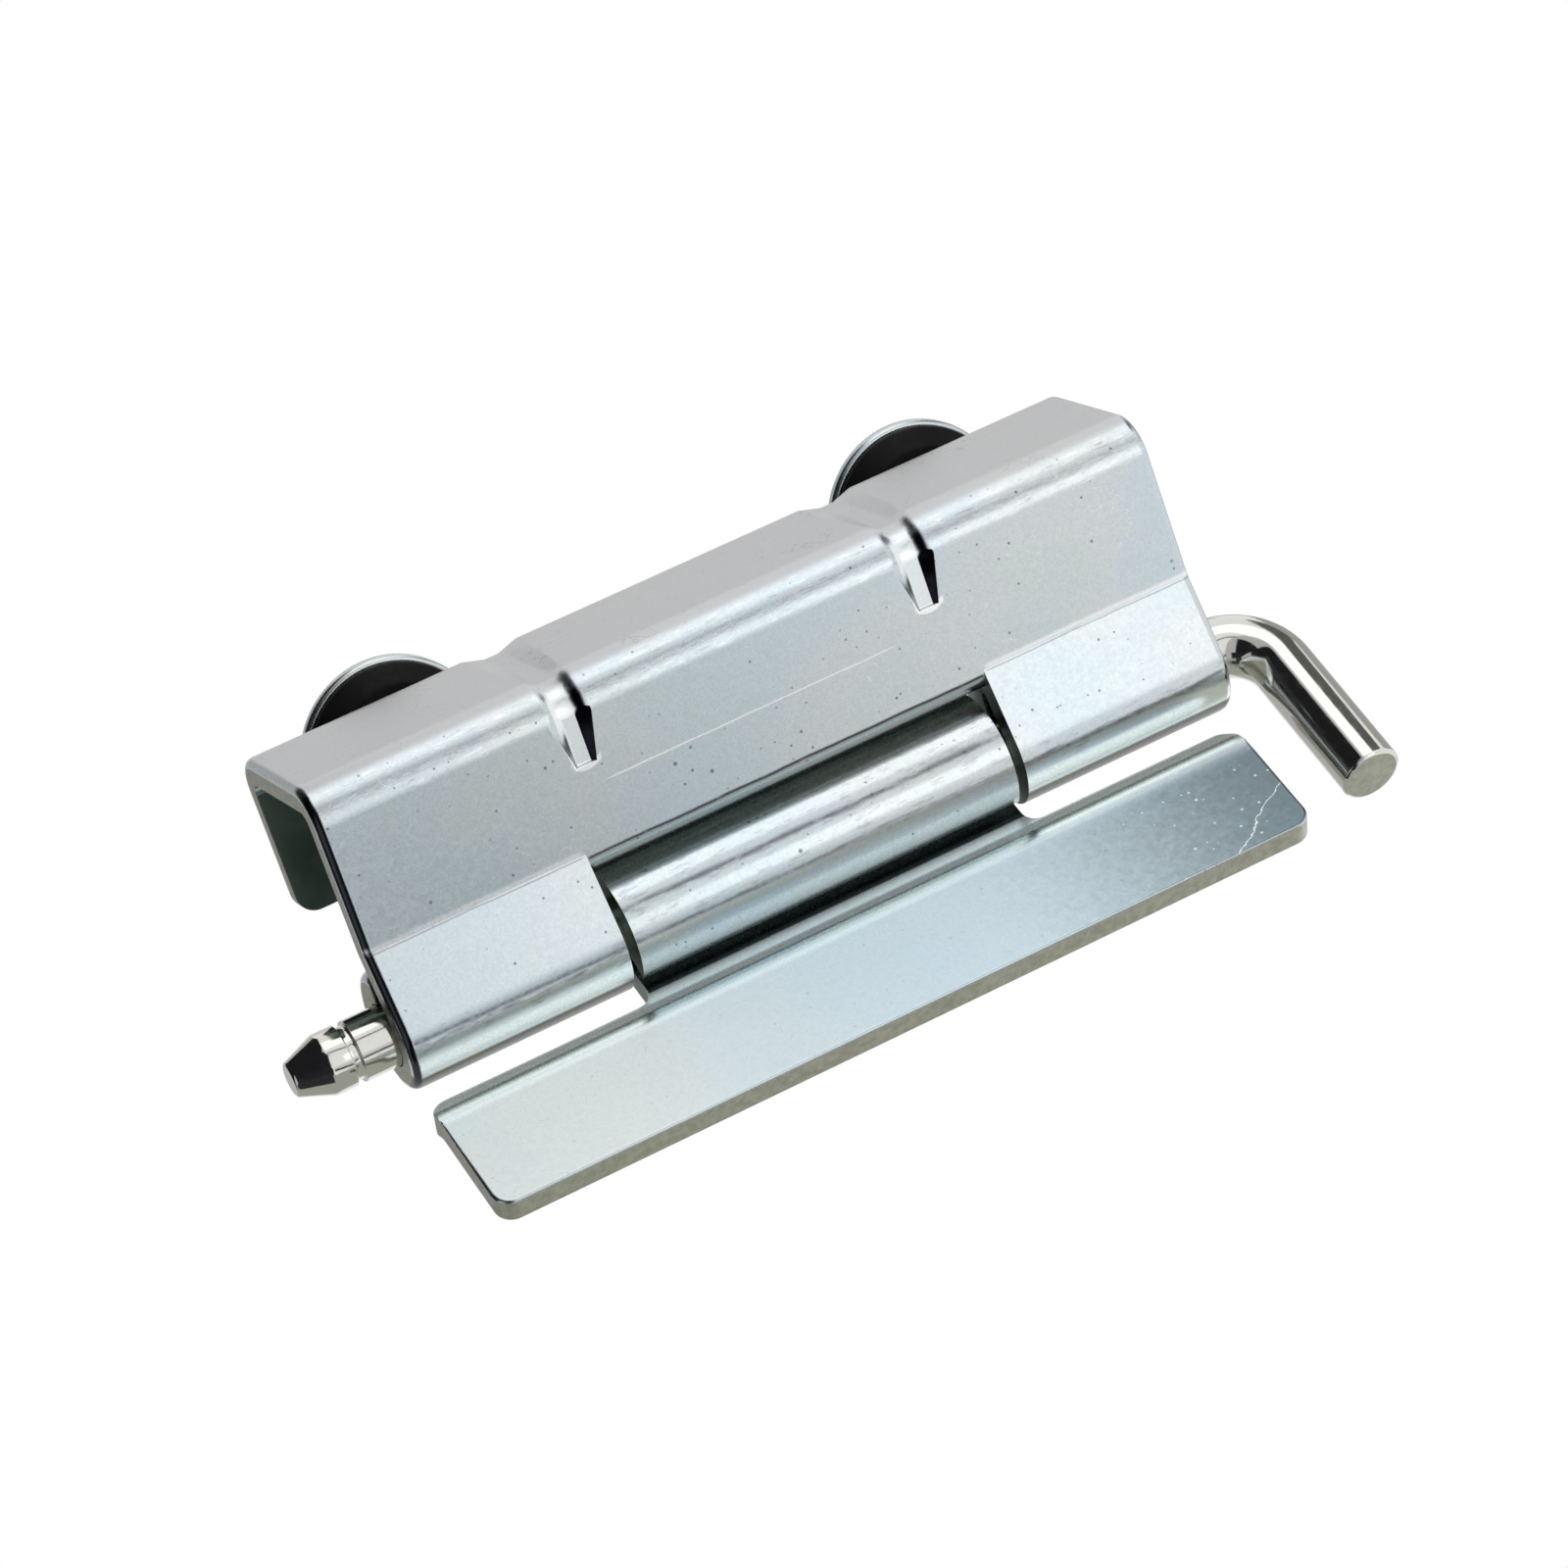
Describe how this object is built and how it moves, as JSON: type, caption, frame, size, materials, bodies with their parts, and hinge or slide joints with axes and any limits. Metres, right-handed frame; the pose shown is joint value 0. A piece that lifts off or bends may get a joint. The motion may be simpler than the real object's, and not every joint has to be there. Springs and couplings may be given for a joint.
{
  "type": "lift-off hinge",
  "caption": "Lift-off cabinet hinge: a folded channel bracket with curled knuckles, a curled door leaf and a pull-out pin with a bent handle, fixed by screws with sealing washers.",
  "frame": {"origin": "midway between the two screws, on the bracket's face that meets the wall", "axes": "+Z along the hinge line towards the pin's handle, +Y from the open front of the hinge into the wall, +X from the channel's web towards the pin"},
  "size_m": [0.0418, 0.0439, 0.1042],
  "materials": {
    "zinc_plate": "bright zinc plating with a pale blue passivation, satin",
    "pin_steel": "bright nickel plating, polished",
    "screw_steel": "bright zinc plating",
    "washer_steel": "bright zinc plating",
    "seal_rubber": "black moulded rubber, satin"
  },
  "bodies": {
    "bracket": {"frame_bracket": "zinc_plate", "upper_screw": "screw_steel", "lower_screw": "screw_steel", "upper_washer": "washer_steel", "lower_washer": "washer_steel", "upper_seal": "seal_rubber", "lower_seal": "seal_rubber"},
    "leaf": {"door_leaf": "zinc_plate"},
    "pin": {"hinge_pin": "pin_steel"}
  },
  "joints": [
    {"name": "leaf_swing", "type": "hinge", "parent": "bracket", "child": "leaf", "pos_m": [0.0177, -0.0177, 0], "axis": [0, 0, 1], "range_deg": [-105, 155]},
    {"name": "pin_pull", "type": "slide", "parent": "bracket", "child": "pin", "axis": [0, 0, 1], "range_m": [0, 0.1]}
  ]
}
